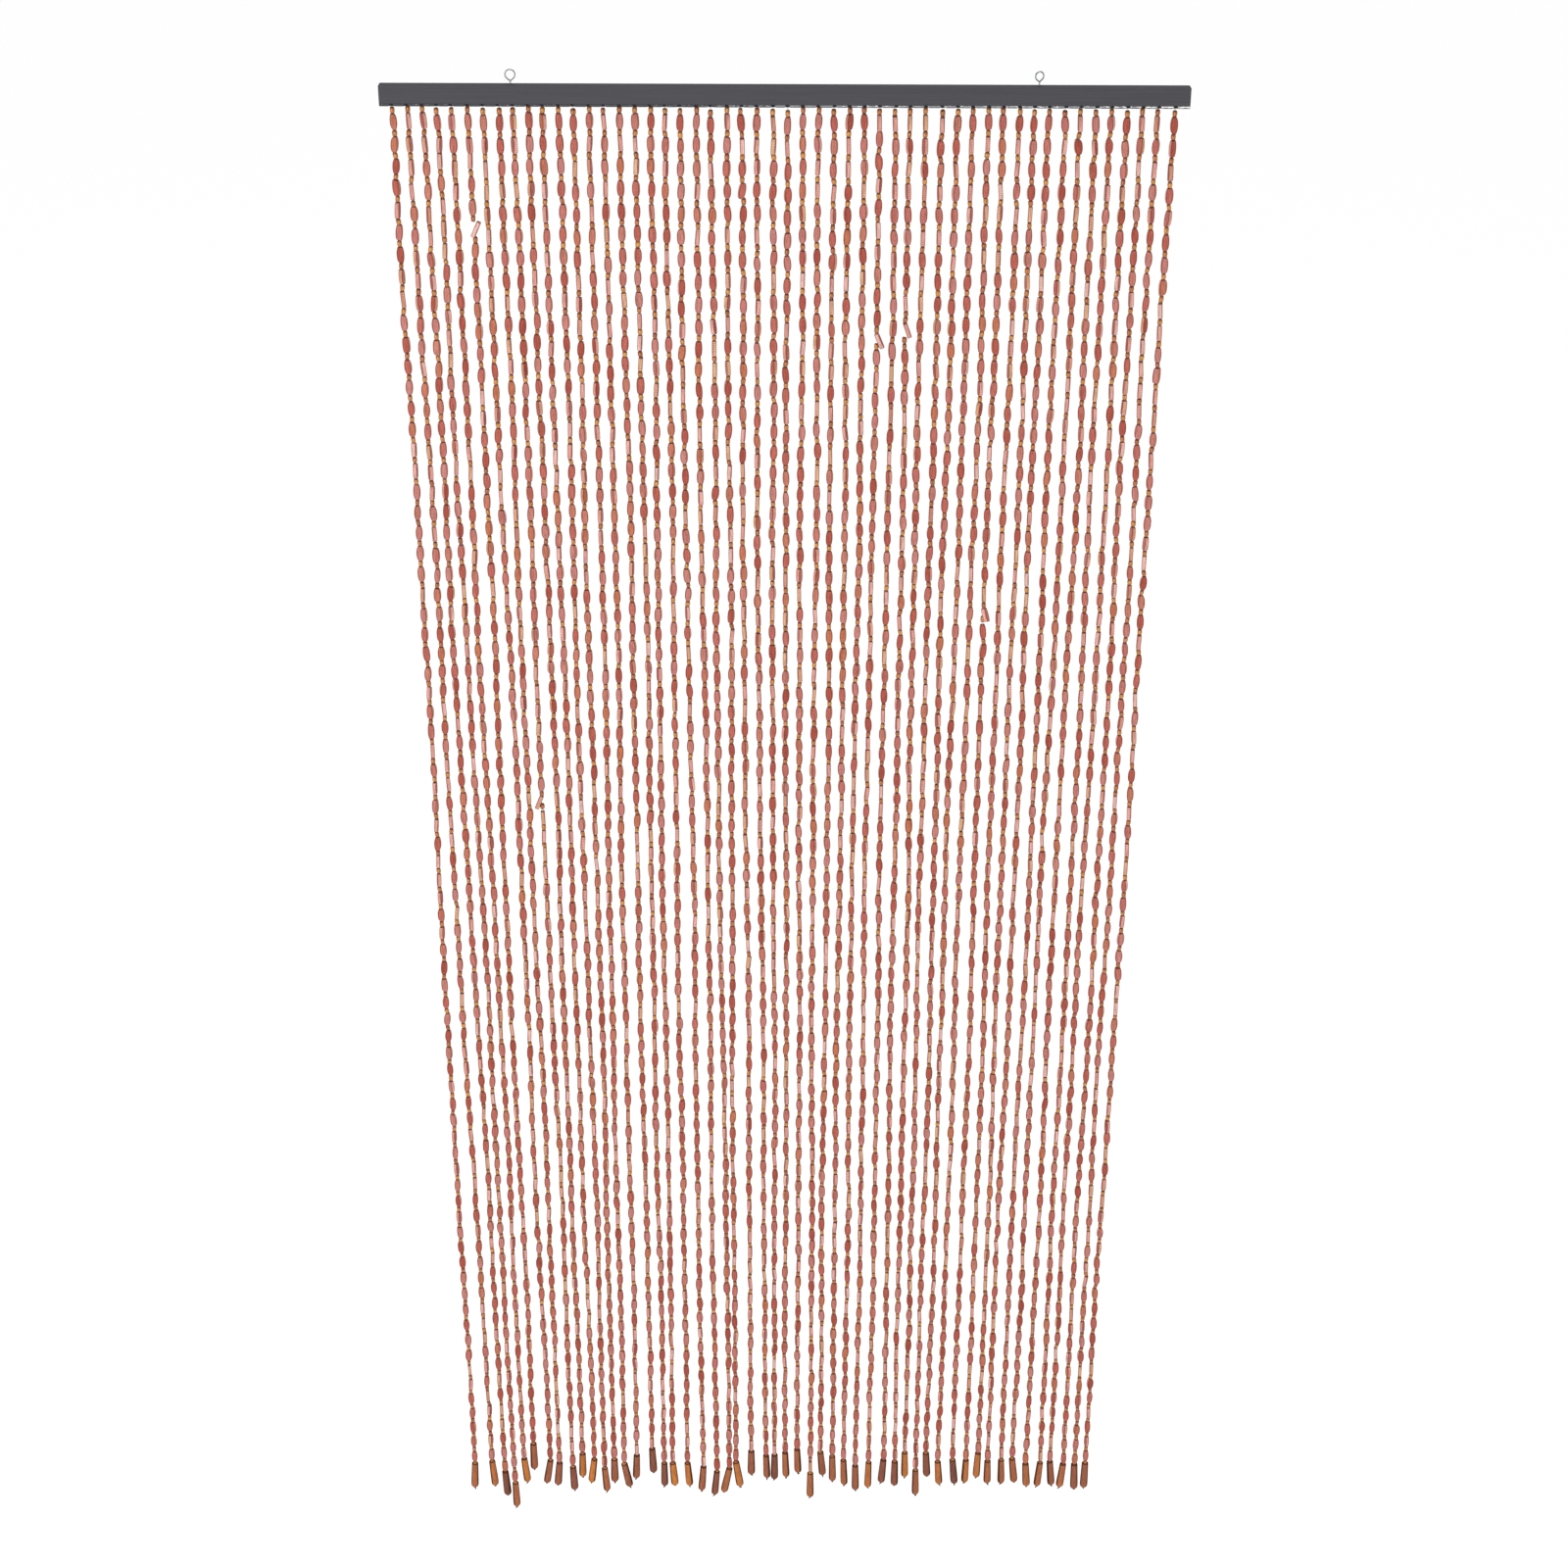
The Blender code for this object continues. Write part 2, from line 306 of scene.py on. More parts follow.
def threadStrand(number, habit, beads):
    chance = random.Random(threading["seed"] + number)
    pick = lambda key: chance.gauss(*threading[key])
    route = []           # (kind, length, play below it, how it is caught)
    top = abs(pick("bareTop")) + threading["leastTop"]
    room = habit["length"] + chance.choice(threading["nested"]) - top
    pairs = round(room / threading["pairLength"])
    for pair in range(1, pairs + 1):
        caught = caughtBeads.get((number, pair), hangsFree)
        caughtAbove = caughtBeads.get((number, pair - 1), hangsFree)
        smalls = 1
        if pair > 1 and not caught[0] and not caughtAbove[0]:
            smalls += (chance.random() < threading["doubled"]) - (chance.random() < threading["skipped"])
        if (number, pair) in twoSmallBeads:
            smalls = 2
        for _ in range(smalls):
            play = max(threading["leastPlay"], pick("play")) + caughtAbove[-1] * mm
            route.append(("small", pick("smallLength"), play, hangsFree))
        route.append(("flat", pick("flatLength"), max(threading["leastPlay"], pick("play")), caught))
    route.append(("small", pick("smallLength"), 0.0, hangsFree))
    taken = sum(length * math.cos(math.radians(caught[0])) + play for _, length, play, caught in route)
    stretch = (room + sum(caught[4] * mm for *_, caught in route)) / taken
    down = top
    cord = [strandPoint(habit, 0.0) + Vector((0, 0, threading["cordInRail"])), strandPoint(habit, 0.0)]
    lastJoint, aside = None, 0.0
    for kind, length, play, (lean, turn, hold, tone, tuck, nextAside, _) in route:
        length, play = length * stretch, play * stretch
        # the drop's weight pulls the last beads into line
        slack = threading["slack"][kind] * min(1.0, 14 * max(0.0, 1.0 - down / habit["length"]) + 0.15)
        offLine = Vector((chance.gauss(0, slack) + aside * mm, chance.gauss(0, slack), 0))
        lastJoint = offLine if aside else lastJoint
        start = strandPoint(habit, down / habit["length"]) + (lastJoint or offLine)
        end = strandPoint(habit, (down + length) / habit["length"]) + offLine
        lastJoint, aside = offLine, nextAside
        if lean:
            # a caught bead leans out, and the small bead below it may sit beside its lower end
            tilt = math.radians(lean)
            down += length * math.cos(tilt) + play - tuck * mm
            start = start - Vector((math.sin(tilt) * length * hold, 0, 0))
            end = start + Vector((math.sin(tilt), -0.1, -math.cos(tilt))).normalized() * length
        else:
            down += length + play
        cord += [start, end]
        twist = pickTurn(chance) if kind == "flat" else chance.uniform(0, 2 * math.pi)
        beads[kind].append({
            "middle": (start + end) / 2,
            "along": (start - end).normalized(),
            "length": length,
            "twist": twist if turn is None else math.radians(turn),
            "slants": (chance.gauss(0, threading["slant"][kind]), chance.gauss(0, threading["slant"][kind])),
            "width": pick(kind + "Width"),
            "thickness": pick("flatThickness") if kind == "flat" else 0.0,
            "endShare": float(np.clip(pick("flatEnd"), *threading["flatEndLimits"])),
            "tint": (chance.random(), chance.random() if tone is None else tone, chance.random()),
            "strand": number,
        })
    inDrop = Vector((math.sin(habit["lean"]), 0.0, -math.cos(habit["lean"]))) * threading["cordInDrop"]
    while cord[-1].z < strandPoint(habit, 1.0).z + 1.0 * mm:
        cord.pop()
    return cord + [strandPoint(habit, 1.0) + inDrop]


habits = strandHabits()
beads = {"flat": [], "small": []}
cords = [threadStrand(number, habit, beads) for number, habit in enumerate(habits, start=1)]
print("threaded", len(cords), "cords with", len(beads["flat"]), "flat and", len(beads["small"]), "small beads")


def placeBeads(group, rings, section, widths, thicknesses):
    # rings: places along a bead, section: corners across it, both as shares of its half sizes
    middle = np.array([bead["middle"] for bead in group])
    along = np.array([bead["along"] for bead in group])
    twist = np.array([bead["twist"] for bead in group])[:, None]
    plain = np.cross(along, (0.0, 1.0, 0.0))
    plain /= np.linalg.norm(plain, axis=1, keepdims=True)
    other = np.cross(along, plain)
    side = plain * np.cos(twist) + other * np.sin(twist)
    front = np.cross(along, side)
    half = np.array([bead["length"] for bead in group])[:, None] / 2
    across = section[:, 0][None, None, :] * widths[:, :, None]
    through = section[:, 1][None, None, :] * thicknesses[:, :, None]
    # each end is cut a little out of square
    slants = np.array([bead["slants"] for bead in group])
    nearEnd = np.clip(np.abs(rings)[None, :] * 2 - 1, 0, 1)
    slant = np.where(rings[None, :] > 0, slants[:, :1], slants[:, 1:]) * nearEnd
    lengthwise = (rings[None, :] * half)[:, :, None] + slant[:, :, None] * across / across.max()
    points = (middle[:, None, None, :] + lengthwise[..., None] * along[:, None, None, :]
              + across[..., None] * side[:, None, None, :] + through[..., None] * front[:, None, None, :])
    # the rings run from top to foot, so the faces are turned round to look outwards
    faces = [face[::-1] for face in gridFaces(len(group), len(rings), len(section))]
    form = np.empty(points.shape)
    form[..., 0] = section[:, 0][None, None, :]
    form[..., 1] = section[:, 1][None, None, :]
    form[..., 2] = rings[None, :, None]
    tint = np.array([bead["tint"] for bead in group])[:, None, None, :] + 0 * points
    return points, faces, form, tint


def splitByStrand(group, parts):
    perPart = len(strandEnds) / parts
    return [[bead for bead in group if int((bead["strand"] - 1) / perPart) == part] for part in range(parts)]


# flat beads: strips of stained poplar, cut to an oval with blunt ends

flatBead = {
    "rings": (1.0, 0.93, 0.72, 0.40, 0.0, -0.40, -0.72, -0.93, -1.0),
    "fullness": 2.7,            # how long the sides stay wide before they turn in
    "endChamfer": 0.86,
    "faceEdge": 0.80,           # where a face ends and its eased corner starts
    "sawnEdge": 0.74,
    "parts": 4,
    "faceStops": ((0.0, "#B65444"), (0.17, "#C66554"), (0.5, "#CF7668"), (0.75, "#D68C82"), (1.0, "#D07A54")),
    "edgeStops": ((0.0, "#EAB9AC"), (0.35, "#E09E90"), (0.62, "#DC9C8C"), (0.82, "#DDAC84"), (1.0, "#CC8872")),
    # the rim colour is painted shade: a dark outline along each face's rim and over its corner
    "rimShade": "#742A1E",
    "endGrain": "#783826",
    "halfSize": (4.05, 2.45, 8.75), # mm
    "streak": (1.1, 1.1, 11.0),     # mm across, through and along; real grain is finer, this shows
    "fleck": (0.8, 0.8, 1.3),       # mm
    "sawMark": 2.1,                 # mm from one to the next; real ones are half that, these show
}


def makeFlatBeadWood():
    # poplar strip, stained terracotta and then sawn: flat dull red faces, pale streaky sawn edges, with painted shade
    # round the rims
    wood, shader = newMaterial("poplarStainedAndSawn", {
        "Specular IOR Level": 0.14, "IOR": 1.5})
    form, tint, place, change = beadPlaces(wood)
    grainPlace, fleckPlace = (
        afresh(wood, form, tint, [half / width for half, width in zip(flatBead["halfSize"], widths)], 80.0)
        for widths in (flatBead["streak"], flatBead["fleck"]))
    grain = addNode(wood, "TexNoise", {"Vector": grainPlace, "Scale": 1.0, "Detail": 4.0, "Roughness": 0.6})
    # faces
    faceColour = addNode(wood, "ValToRGB", {0: change.outputs[0]}, stops=flatBead["faceStops"])
    faceShade = addNode(wood, "MapRange", {"Value": grain.outputs["Fac"], "From Min": 0.3, "From Max": 0.7,
                                           "To Min": 0.52, "To Max": 0.96})
    flecks = addNode(wood, "TexNoise", {"Vector": fleckPlace, "Scale": 1.0, "Detail": 2.0})
    fleckShade = addNode(wood, "MapRange", {"Value": flecks.outputs["Fac"], "From Min": 0.56, "From Max": 0.66,
                                            "To Min": 1.0, "To Max": 0.62})
    faceAll = addNode(wood, "Math", {0: faceShade.outputs[0], 1: fleckShade.outputs[0]}, operation="MULTIPLY")
    faceGrained = addNode(wood, "VectorMath", {0: faceColour.outputs["Color"], "Scale": faceAll.outputs[0]},
                          operation="SCALE")
    # sawn edges
    edgeColour = addNode(wood, "ValToRGB", {0: change.outputs[1]}, stops=flatBead["edgeStops"])
    edgeShade = addNode(wood, "MapRange", {"Value": grain.outputs["Fac"], "From Min": 0.38, "From Max": 0.62,
                                           "To Min": 0.68, "To Max": 1.10})
    lengthPlace = afresh(wood, form, tint, (0.3, 0.4, flatBead["halfSize"][2]), 80.0)
    sawMarks = addNode(wood, "TexWave", {"Vector": lengthPlace, "Scale": 0.314 / flatBead["sawMark"],
                                         "Distortion": 1.6, "Detail": 1.0}, wave_type="BANDS", bands_direction="Z")
    sawShade = addNode(wood, "MapRange", {"Value": sawMarks.outputs["Fac"], "To Min": 0.76, "To Max": 1.06})
    edgeAll = addNode(wood, "Math", {0: edgeShade.outputs[0], 1: sawShade.outputs[0]}, operation="MULTIPLY")
    edgeGrained = addNode(wood, "VectorMath", {0: edgeColour.outputs["Color"], "Scale": edgeAll.outputs[0]},
                          operation="SCALE")
    through = addNode(wood, "Math", {0: place.outputs[1]}, operation="ABSOLUTE")
    isFace = addNode(wood, "MapRange", {"Value": through.outputs[0], "From Min": 0.83, "From Max": 0.90})
    body = addNode(wood, "Mix", {0: isFace.outputs[0], 6: edgeGrained.outputs[0], 7: faceGrained.outputs[0]},
                   data_type="RGBA")
    # painted shade along the rim of each face, carried over the corner onto the sawn edge: a dark outline on every bead
    across = addNode(wood, "Math", {0: place.outputs[0]}, operation="ABSOLUTE")
    rimReach = addNode(wood, "Math", {0: grain.outputs["Fac"], 1: 0.16, 2: across.outputs[0]},
                       operation="MULTIPLY_ADD")
    rimShade = addNode(wood, "MapRange", {"Value": rimReach.outputs[0], "From Min": 0.74, "From Max": 0.88})
    rimOnFace = addNode(wood, "Math", {0: rimShade.outputs[0], 1: isFace.outputs[0]}, operation="MULTIPLY")
    shadeOverCorner = addNode(wood, "MapRange", {"Value": through.outputs[0], "From Min": 0.66, "From Max": 0.86})
    shadeOverCornerOnEdge = addNode(wood, "Math", {0: shadeOverCorner.outputs[0], 1: isFace.outputs[0]}, operation="SUBTRACT",
                          use_clamp=True)
    rimAll = addNode(wood, "Math", {0: rimOnFace.outputs[0], 1: shadeOverCornerOnEdge.outputs[0]}, operation="MAXIMUM")
    rimWeight = addNode(wood, "Math", {0: rimAll.outputs[0], 1: 0.9}, operation="MULTIPLY")
    rimmed = addNode(wood, "Mix", {0: rimWeight.outputs[0], 6: body.outputs[2], 7: linear(flatBead["rimShade"])},
                     data_type="RGBA")
    # dark end grain round the bore
    lengthwise = addNode(wood, "Math", {0: place.outputs[2]}, operation="ABSOLUTE")
    atEnd = addNode(wood, "MapRange", {"Value": lengthwise.outputs[0], "From Min": 0.90, "From Max": 0.97,
                                       "To Max": 0.85})
    colour = addNode(wood, "Mix", {0: atEnd.outputs[0], 6: rimmed.outputs[2], 7: linear(flatBead["endGrain"])},
                     data_type="RGBA")
    bump = addNode(wood, "Bump", {"Height": grain.outputs["Fac"], "Strength": 0.35, "Distance": 0.0002})
    rough = addNode(wood, "MapRange", {"Value": lengthwise.outputs[0], "From Min": 0.86, "From Max": 0.95,
                                       "To Min": 0.5, "To Max": 0.9})
    plug(wood, shader, {"Base Color": colour.outputs[2], "Normal": bump.outputs[0], "Roughness": rough.outputs[0]})
    return wood


def makeFlatBeads():
    wood = makeFlatBeadWood()
    rings = np.array(flatBead["rings"])
    face, sawn = flatBead["faceEdge"], flatBead["sawnEdge"]
    section = np.array([(face, -1), (1, -sawn), (1, sawn), (face, 1),
                        (-face, 1), (-1, sawn), (-1, -sawn), (-face, -1)], dtype=float)
    chamfer = np.where(np.abs(rings) == 1.0, flatBead["endChamfer"], 1.0)
    for part, group in enumerate(splitByStrand(beads["flat"], flatBead["parts"]), start=1):
        end = np.array([bead["endShare"] for bead in group])[:, None]
        swell = end + (1.0 - end) * (1.0 - np.abs(rings)[None, :] ** flatBead["fullness"])
        widths = np.array([bead["width"] for bead in group])[:, None] / 2 * swell * chamfer
        thick = np.array([bead["thickness"] for bead in group])[:, None] / 2 * chamfer[None, :]
        points, faces, form, tint = placeBeads(group, rings, section, widths, thick)
        mesh = meshFrom("flatBeads%d" % part, points, faces, 35)
        setAttribute(mesh, "form", form)
        setAttribute(mesh, "tint", tint)
        addPiece(mesh.name, mesh, wood, ["bead_strands"])
        print("flat beads, part", part, "of", flatBead["parts"], len(group))


makeFlatBeads()


# small beads: turned boxwood barrels under amber lacquer

smallBead = {
    "rings": (1.0, 0.72, 0.0, -0.72, -1.0),
    "radii": (0.56, 0.89, 1.0, 0.89, 0.56),
    "sides": 8,
    "parts": 2,
    "bodyStops": ((0.0, "#AC5C20"), (0.3, "#C27226"), (0.7, "#D6903C"), (1.0, "#B46428")),
    "ends": "#6A3010",
    "halfSize": (2.5, 2.5, 3.3),    # mm across, through and along
    "flecks": (1.5, 1.5, 3.6),      # mm
}


def makeSmallBeadWood():
    # boxwood, turned and dipped in amber lacquer: glossy ochre that darkens into its ends
    wood, shader = newMaterial("boxwoodTurnedAmberLacquer", {
        "Specular IOR Level": 0.4, "Coat Roughness": 0.1, "IOR": 1.5})
    form, tint, place, change = beadPlaces(wood)
    sizes = [half / fleck for half, fleck in zip(smallBead["halfSize"], smallBead["flecks"])]
    grainPlace = afresh(wood, form, tint, sizes, 60.0)
    grain = addNode(wood, "TexNoise", {"Vector": grainPlace, "Scale": 1.0, "Detail": 3.0})
    bodyColour = addNode(wood, "ValToRGB", {0: change.outputs[0]}, stops=smallBead["bodyStops"])
    shade = addNode(wood, "MapRange", {"Value": grain.outputs["Fac"], "From Min": 0.35, "From Max": 0.65,
                                       "To Min": 0.50, "To Max": 1.06})
    grained = addNode(wood, "VectorMath", {0: bodyColour.outputs["Color"], "Scale": shade.outputs[0]},
                      operation="SCALE")
    lengthwise = addNode(wood, "Math", {0: place.outputs[2]}, operation="ABSOLUTE")
    atEnd = addNode(wood, "MapRange", {"Value": lengthwise.outputs[0], "From Min": 0.44, "From Max": 0.98,
                                       "To Max": 0.94})
    colour = addNode(wood, "Mix", {0: atEnd.outputs[0], 6: grained.outputs[0], 7: linear(smallBead["ends"])},
                     data_type="RGBA")
    # the open ends soaked the lacquer up and stay dull
    coat = addNode(wood, "MapRange", {"Value": lengthwise.outputs[0], "From Min": 0.55, "From Max": 0.85,
                                      "To Min": 0.5, "To Max": 0.0})
    rough = addNode(wood, "MapRange", {"Value": lengthwise.outputs[0], "From Min": 0.55, "From Max": 0.85,
                                       "To Min": 0.28, "To Max": 0.9})
    plug(wood, shader, {"Base Color": colour.outputs[2], "Coat Weight": coat.outputs[0],
                        "Roughness": rough.outputs[0]})
    return wood


def makeSmallBeads():
    wood = makeSmallBeadWood()
    rings = np.array(smallBead["rings"])
    turns = np.arange(smallBead["sides"]) * 2 * math.pi / smallBead["sides"]
    section = np.stack([np.cos(turns), np.sin(turns)], axis=1)
    radii = np.array(smallBead["radii"])[None, :]
    for part, group in enumerate(splitByStrand(beads["small"], smallBead["parts"]), start=1):
        widths = np.array([bead["width"] for bead in group])[:, None] / 2 * radii
        points, faces, form, tint = placeBeads(group, rings, section, widths, widths)
        mesh = meshFrom("smallBeads%d" % part, points, faces, 60)
        setAttribute(mesh, "form", form)
        setAttribute(mesh, "tint", tint)
        addPiece(mesh.name, mesh, wood, ["bead_strands"])
        print("small beads, part", part, "of", smallBead["parts"], len(group))


makeSmallBeads()


# drops: turned ash pendants with a mouth for the last small bead

drop = {
    # mm below the drop's top, and radius there, from the bottom of the mouth outwards and down
    "profile": ((6.6, 1.4), (5.4, 2.7), (0.5, 3.0), (0.0, 3.3), (0.0, 3.9), (0.5, 4.2), (5.0, 4.35),
                (13.0, 4.5), (22.0, 4.7), (31.0, 4.9), (38.8, 4.95), (41.6, 4.7), (43.4, 4.0), (44.4, 2.9)),
    "flattening": 0.86,
    "stretch": (0.88, 1.01),
    "girth": (1.05, 1.12),
    "sides": 16,
    "twist": 24.0,                  # degrees either way
    "lengthSeed": 19,
    "shapeSeed": 44,
    # the wood's tone: grey brown, brown, or orange on the drops of these strands
    "orange": (2, 5, 10, 11, 18, 19, 23, 34, 37, 40, 42, 43),
    "greyBrown": (3, 9, 16, 17, 21, 26, 35, 36, 39, 41),
    "tones": {"greyBrown": (0.0, 0.25), "brown": (0.35, 0.65), "orange": (0.8, 1.0)},
    "bodyStops": ((0.0, "#805042"), (0.25, "#9A5C48"), (0.5, "#B06A48"), (0.78, "#C27444"), (1.0, "#D2803E")),
    # this dark colour is painted shade, laid on the drop's flanks and round its mouth
    "paintedShade": "#42200F",
    "halfSize": (4.7, 4.0, 44.0),   # mm across and through, and the whole length
    "grain": (0.9, 0.9, 14.0),      # mm
    "tip": 44.0 * mm,
    "knot": ((0.0, 1.2 * mm), (0.9 * mm, 2.0 * mm), (2.2 * mm, 1.9 * mm), (3.3 * mm, 0.9 * mm)),
    "tailLength": 3.4 * mm,
    "tailRadius": 0.8 * mm,
}


def makeDropWood():
    # ash, turned and waxed: brown with long grain, and painted shade that darkens its two flanks nearly to black
    wood, shader = newMaterial("ashTurnedWaxedWithPaintedShade", {
        "Roughness": 0.6, "Specular IOR Level": 0.07, "IOR": 1.5})
    form, tint, place, change = beadPlaces(wood)
    grainPlace = afresh(wood, form, tint, [half / size for half, size in zip(drop["halfSize"], drop["grain"])], 70.0)
    grain = addNode(wood, "TexNoise", {"Vector": grainPlace, "Scale": 1.0, "Detail": 5.0, "Roughness": 0.65})
    bodyColour = addNode(wood, "ValToRGB", {0: change.outputs[0]}, stops=drop["bodyStops"])
    shade = addNode(wood, "MapRange", {"Value": grain.outputs["Fac"], "From Min": 0.32, "From Max": 0.68,
                                       "To Min": 0.50, "To Max": 1.06})
    grained = addNode(wood, "VectorMath", {0: bodyColour.outputs["Color"], "Scale": shade.outputs[0]},
                      operation="SCALE")
    across = addNode(wood, "Math", {0: place.outputs[0]}, operation="ABSOLUTE")
    flankReach = addNode(wood, "Math", {0: grain.outputs["Fac"], 1: 0.22, 2: across.outputs[0]},
                         operation="MULTIPLY_ADD")
    flankShade = addNode(wood, "MapRange", {"Value": flankReach.outputs[0], "From Min": 0.76, "From Max": 0.92})
    # the painted shade is heaviest round the mouth, where the drop is hollow
    mouth = addNode(wood, "MapRange", {"Value": place.outputs[2], "From Min": 0.045, "From Max": 0.01})
    flankAndMouthShade = addNode(wood, "Math", {0: flankShade.outputs[0], 1: mouth.outputs[0]}, operation="MAXIMUM")
    paintedShade = addNode(wood, "Math", {0: flankAndMouthShade.outputs[0], 1: 0.94}, operation="MULTIPLY")
    colour = addNode(wood, "Mix", {0: paintedShade.outputs[0], 6: grained.outputs[0], 7: linear(drop["paintedShade"])},
                     data_type="RGBA")
    bump = addNode(wood, "Bump", {"Height": grain.outputs["Fac"], "Strength": 0.4, "Distance": 0.0003})
    plug(wood, shader, {"Base Color": colour.outputs[2], "Normal": bump.outputs[0]})
    return wood


def dropAxes(habit):
    down = Vector((math.sin(habit["lean"]), 0.0, -math.cos(habit["lean"])))
    across = Vector((math.cos(habit["lean"]), 0.0, math.sin(habit["lean"])))
    return strandPoint(habit, 1.0), down, across


def makeDrops():
    wood = makeDropWood()
    lengths = random.Random(drop["lengthSeed"])
    for habit in habits:
        habit["dropStretch"] = lengths.uniform(*drop["stretch"])
    below = np.array([row[0] for row in drop["profile"]]) * mm
    lowest = drop["profile"][-1][0] * mm
    radii = np.array([row[1] for row in drop["profile"]]) * mm
    turns = np.arange(drop["sides"]) * 2 * math.pi / drop["sides"]
    chance = random.Random(drop["shapeSeed"])
    allPoints, form, tint = [], [], []
    for number, habit in enumerate(habits, start=1):
        top, down, across = dropAxes(habit)
        stretch, girth = habit["dropStretch"], chance.uniform(*drop["girth"])
        twist = math.radians(chance.uniform(-drop["twist"], drop["twist"]))
        tone = next((tone for tone in ("orange", "greyBrown") if number in drop[tone]), "brown")
        tints = (chance.uniform(*drop["tones"][tone]), chance.random(), chance.random())
        back = down.cross(across)
        wide = across * math.cos(twist) + back * math.sin(twist)
        deep = back * math.cos(twist) - across * math.sin(twist)
        for depth, radius in zip(below, radii):
            for turn in turns:
                u, v = math.cos(turn), math.sin(turn)
                allPoints.append(top + down * depth * stretch + wide * (u * radius * girth)
                                 + deep * (v * radius * girth * drop["flattening"]))
                form.append((u, v, depth / lowest))
                tint.append(tints)
    faces = gridFaces(len(habits), len(below), drop["sides"])
    mesh = meshFrom("woodenDrops", np.array(allPoints), faces, 45)
    setAttribute(mesh, "form", np.array(form))
    setAttribute(mesh, "tint", np.array(tint))
    addPiece("woodenDrops", mesh, wood, ["bead_strands"])
    print("drops", len(habits))


makeDrops()


# cords, and the knots and tails that show at their ends

cord = {
    "radius": 0.55 * mm,
    "sides": 4,
    "leastStep": 0.9 * mm,          # nearer points of its route are left out
    "knotRadius": 1.15 * mm,
    "knotRings": 6,
    "colour": "#FBF9F5",
    "shadow": "#E2DCD2",
    "ply": 1.1,                     # mm between two turns of the twist
    "tailColour": "#3A2418",
    "tailDark": "#241610",
    "tailSeed": 7,
}


def makeCordCotton():
    # cotton, three plies twisted: an off-white thread with slanting furrows
    cotton, shader = newMaterial("cottonTwistedCord", {"Roughness": 0.85, "Sheen Weight": 0.3, "IOR": 1.45})
    spot = addNode(cotton, "TexCoord")
    twist = addNode(cotton, "TexWave", {"Vector": spot.outputs["Object"], "Scale": 0.16 / (cord["ply"] * mm),
                                        "Distortion": 1.5}, wave_type="BANDS", bands_direction="DIAGONAL")
    colour = addNode(cotton, "ValToRGB", {0: twist.outputs["Fac"]},
                     stops=((0.0, cord["shadow"]), (0.5, cord["colour"])))
    bump = addNode(cotton, "Bump", {"Height": twist.outputs["Fac"], "Strength": 0.5, "Distance": 0.0003})
    plug(cotton, shader, {"Base Color": colour.outputs["Color"], "Normal": bump.outputs[0]})
    return cotton


def makeTailCord():
    # the same cord, dipped in dark glue where it is knotted off: stiff, nearly black
    glued, shader = newMaterial("cottonDippedInGlue", {"Roughness": 0.5, "Specular IOR Level": 0.15, "IOR": 1.5})
    spot = addNode(glued, "TexCoord")
    mottle = addNode(glued, "TexNoise", {"Vector": spot.outputs["Object"], "Scale": 900.0, "Detail": 2.0})
    colour = addNode(glued, "ValToRGB", {0: mottle.outputs["Fac"]},
                     stops=((0.3, cord["tailDark"]), (0.7, cord["tailColour"])))
    plug(glued, shader, {"Base Color": colour.outputs["Color"]})
    return glued


def addTube(shape, points, radii, sides):
    # a closed tube through the points, its rings square to the route
    previous = None
    for number, (point, radius) in enumerate(zip(points, radii)):
        ahead = points[min(number + 1, len(points) - 1)]
        behind = points[max(number - 1, 0)]
        along = (ahead - behind).normalized()
        side = along.cross(Vector((0.0, 1.0, 0.0))).normalized()
        front = along.cross(side)
        ring = [shape.verts.new(point + side * (radius * math.cos(turn)) + front * (radius * math.sin(turn)))
                for turn in (2 * math.pi * step / sides for step in range(sides))]
        if previous:
            for step in range(sides):
                after = (step + 1) % sides
                shape.faces.new((previous[step], previous[after], ring[after], ring[step]))
        else:
            shape.faces.new(ring[::-1])
        previous = ring
    shape.faces.new(previous)


def meshFromShape(name, shape):
    bmesh.ops.recalc_face_normals(shape, faces=shape.faces)
    mesh = bpy.data.meshes.new(name)
    shape.to_mesh(mesh)
    shape.free()
    mesh.shade_smooth()
    return mesh


